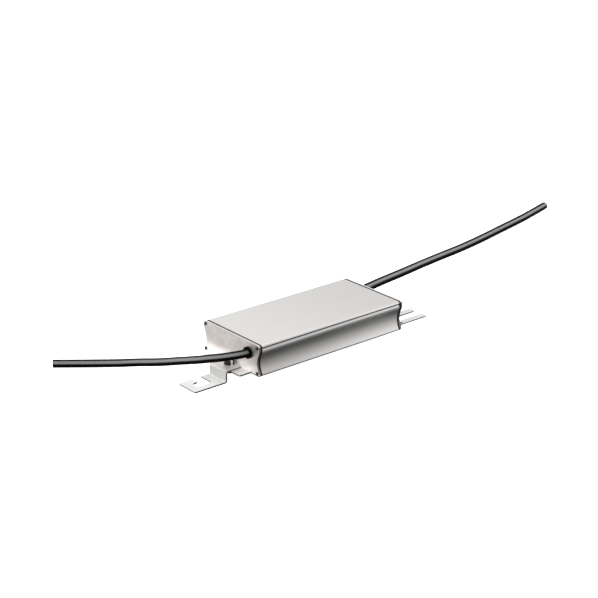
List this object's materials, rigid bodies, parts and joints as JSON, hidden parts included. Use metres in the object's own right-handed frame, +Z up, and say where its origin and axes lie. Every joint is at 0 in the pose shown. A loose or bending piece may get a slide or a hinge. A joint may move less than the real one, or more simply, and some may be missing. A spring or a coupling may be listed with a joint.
{
  "type": "led driver",
  "caption": "Sealed LED power supply: flat extruded aluminium housing with hollowed sides, gasketed end plates, a cable at each end, and stepped sheet brackets with a hook slot and an open fork.",
  "frame": {"origin": "on the floor under the middle of the feet, leaving the two cables out", "axes": "+X along the housing from the front end plate with the hook-slot foot to the rear with the fork, +Y to the left seen from the front, +Z up"},
  "size_m": [0.7271, 0.1915, 0.0402],
  "materials": {
    "anodised": "fine matt anodised extrusion",
    "plate": "matt sheet",
    "gasket_rubber": "matt",
    "dark_screw": "black zinc",
    "gland_nylon": "fine moulded",
    "sheath": "satin",
    "bracket_steel": "bright zinc plated",
    "bolt_steel": "turned stainless",
    "board": "solder resist",
    "insulation": "smooth",
    "ferrite": "ground ferrite",
    "tape": "polyester tape",
    "copper_wire": "enamelled wire",
    "black_moulding": "moulded",
    "capacitor_sleeve": "shrink sleeve",
    "film_case": "moulded",
    "varistor_coat": "dipped"
  },
  "bodies": {
    "root": {"housing": "anodised", "front_gasket": "gasket_rubber", "rear_gasket": "gasket_rubber", "front_end_plate": "plate", "rear_end_plate": "plate", "front_plate_screws": "dark_screw", "rear_plate_screws": "dark_screw", "front_gland": "gland_nylon", "rear_gland": "gland_nylon", "front_gland_nut": "gland_nylon", "rear_gland_nut": "gland_nylon", "front_leads": "sheath", "rear_leads": "sheath", "front_bracket": "bracket_steel", "rear_bracket": "bracket_steel", "front_bracket_bolt": "bolt_steel", "rear_bracket_bolt": "bolt_steel", "front_bracket_nut": "bolt_steel", "rear_bracket_nut": "bolt_steel", "front_cable": "sheath", "rear_cable": "sheath", "circuit_board": "board", "insulating_sheet": "insulation", "transformer_core": "ferrite", "transformer_winding": "tape", "transformer_base": "black_moulding", "filter_choke_core": "ferrite", "filter_choke_windings": "copper_wire", "filter_choke_base": "insulation", "pfc_choke_core": "ferrite", "pfc_choke_winding": "copper_wire", "bulk_capacitor": "capacitor_sleeve", "film_capacitor": "film_case", "output_capacitors": "capacitor_sleeve", "fuse": "black_moulding", "varistor": "varistor_coat", "bridge_rectifier": "black_moulding", "thermal_pad": "insulation", "heat_spreader": "anodised", "power_devices": "black_moulding", "control_chips": "black_moulding"}
  },
  "joints": []
}
